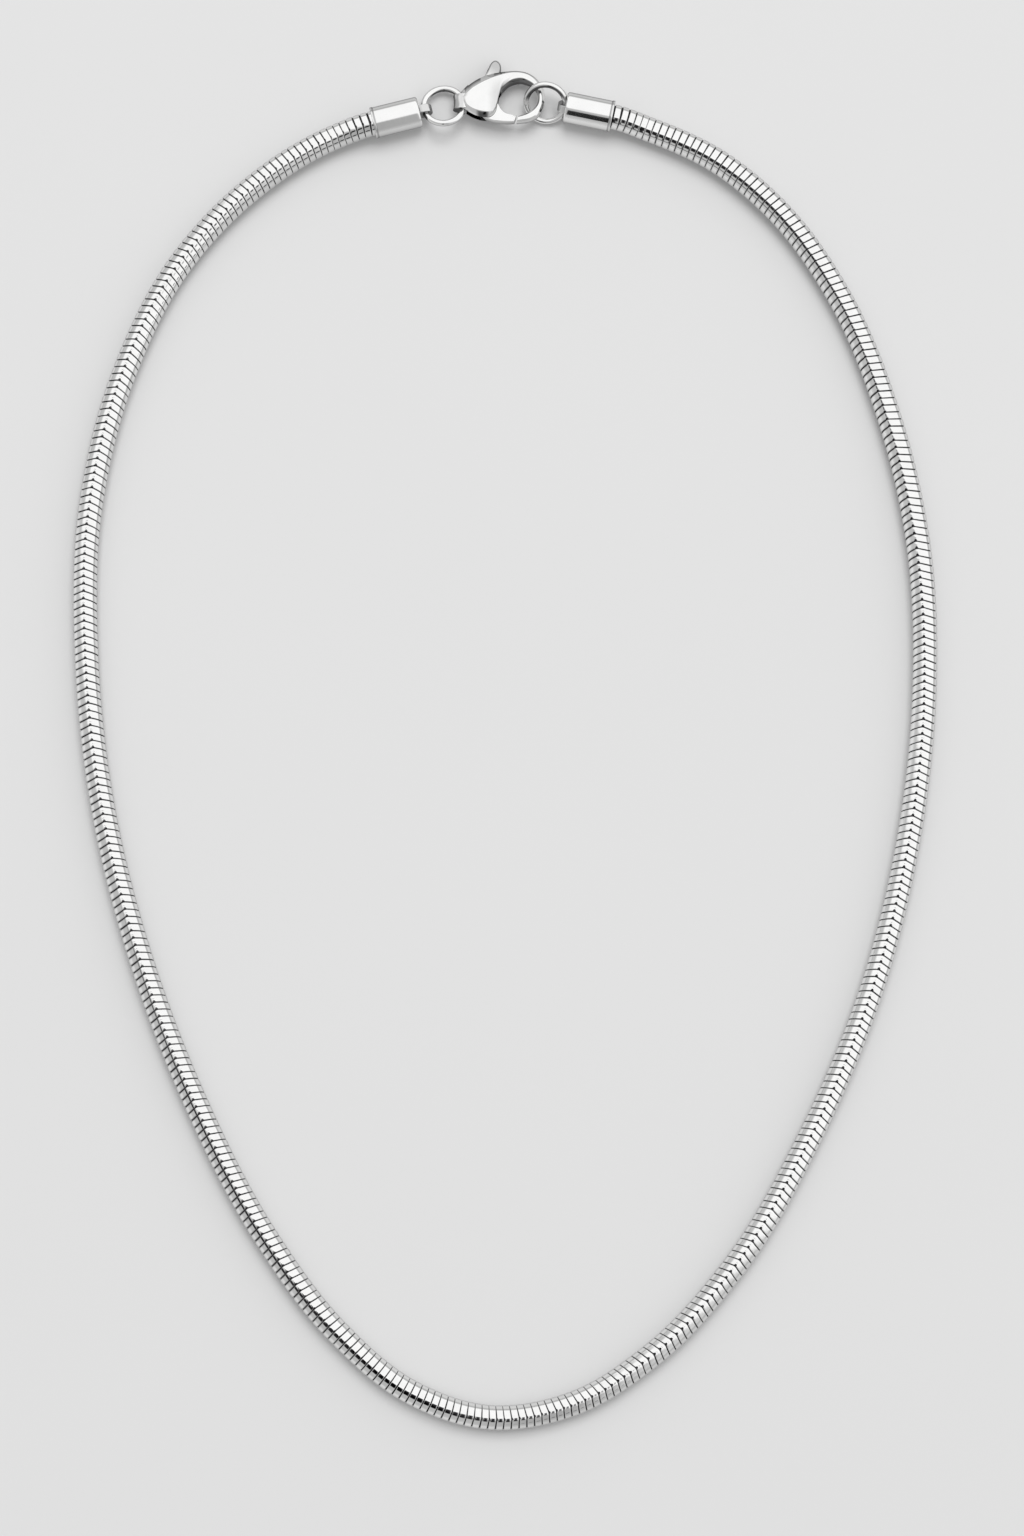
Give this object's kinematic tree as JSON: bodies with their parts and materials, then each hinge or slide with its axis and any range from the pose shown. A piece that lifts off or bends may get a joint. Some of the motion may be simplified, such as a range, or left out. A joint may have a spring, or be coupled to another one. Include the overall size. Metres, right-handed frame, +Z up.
{
  "type": "snake chain necklace",
  "caption": "Round snake chain necklace with tube end caps, jump rings and a lobster clasp, laid flat in an egg-shaped loop.",
  "frame": {"origin": "on the surface that the necklace lies on, at the middle of the necklace's outline seen from above", "axes": "+Z up from the surface, +Y along the loop towards the clasp, +X to the right seen from above"},
  "size_m": [0.1132, 0.1793, 0.0041],
  "materials": {
    "chain_silver": "polished silver, slightly satin in the grooves between links",
    "fitting_silver": "mirror-polished silver with fine handling marks"
  },
  "bodies": {
    "necklace": {"snake_chain": "chain_silver", "end_cap_left": "fitting_silver", "end_cap_right": "fitting_silver", "jump_ring_left": "fitting_silver", "jump_ring_right": "fitting_silver", "clasp_body": "fitting_silver", "clasp_pin": "fitting_silver"},
    "lever": {"clasp_lever": "fitting_silver"}
  },
  "joints": [
    {"name": "lever_hinge", "type": "hinge", "parent": "necklace", "child": "lever", "pos_m": [-0.0027, 0.08296, 0.0021], "axis": [0, 0.1392, 0.9903], "range_deg": [0, 25], "stiffness_Nm_per_rad": 0.002, "springref_deg": -28.65}
  ]
}
